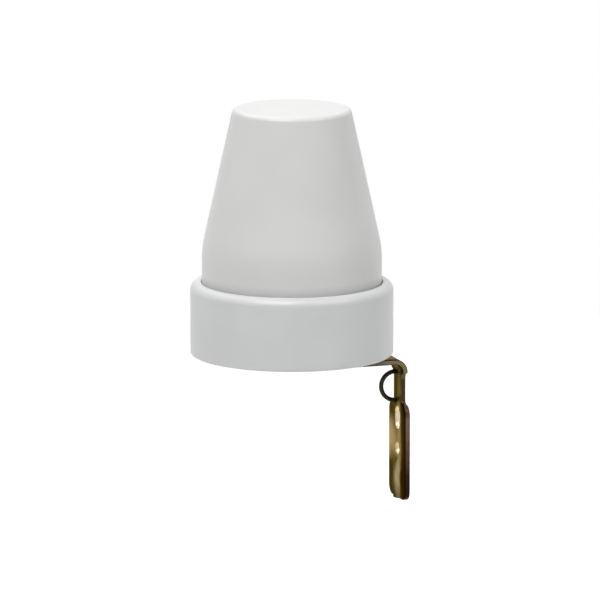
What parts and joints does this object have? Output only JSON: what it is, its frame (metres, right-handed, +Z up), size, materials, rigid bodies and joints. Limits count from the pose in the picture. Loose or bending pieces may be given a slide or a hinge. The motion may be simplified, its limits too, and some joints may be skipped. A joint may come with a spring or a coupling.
{
  "type": "photocell switch",
  "caption": "Dusk-to-dawn photocell switch: a tapered pale cover in a round base, with a yellow-plated strip bracket for a wall or pole and a lead inlet underneath.",
  "frame": {"origin": "centre of the base's underside, on the axis of the lead inlet", "axes": "+Z up along the axis of the base and cover, +X towards the wall that the bracket is fixed to, -Z out of the lead inlet"},
  "size_m": [0.073, 0.068, 0.1348],
  "materials": {
    "base_plastic": "moulded, satin",
    "cover_plastic": "moulded, satin, slightly translucent",
    "seal_rubber": "matte",
    "bright_steel": "zinc plated",
    "grommet_rubber": "matte",
    "yellow_zinc_steel": "zinc plated, yellow passivated",
    "dark_wire": "dark oxide",
    "yellow_zinc_fixing": "zinc plated, yellow passivated",
    "board_laminate": "phenolic paper laminate",
    "relay_case": "moulded",
    "film_case": "dipped, glossy",
    "can_sleeve": "heat-shrunk sleeve",
    "cell_ceramic": "clear-coated ceramic",
    "sleeve_plastic": "extruded",
    "diode_epoxy": "moulded epoxy",
    "zener_glass": "glass bead",
    "resistor_coat": "lacquered",
    "power_resistor_coat": "flameproof lacquer",
    "transistor_epoxy": "moulded epoxy",
    "varistor_coat": "dipped epoxy"
  },
  "bodies": {
    "root": {"base": "base_plastic", "cover": "cover_plastic", "cover_seal": "seal_rubber", "cover_screws": "bright_steel", "lead_grommet": "grommet_rubber", "bracket": "yellow_zinc_steel", "tie_loop": "dark_wire", "bracket_screw": "yellow_zinc_fixing", "bracket_nut": "yellow_zinc_fixing", "circuit_board": "board_laminate", "board_screws": "bright_steel", "relay": "relay_case", "dropper_capacitor": "film_case", "smoothing_capacitor": "can_sleeve", "light_cell": "cell_ceramic", "cell_sleeves": "sleeve_plastic", "rectifier_diodes": "diode_epoxy", "zener_diode": "zener_glass", "divider_resistors": "resistor_coat", "series_resistor": "power_resistor_coat", "transistors": "transistor_epoxy", "varistor": "varistor_coat"}
  },
  "joints": []
}
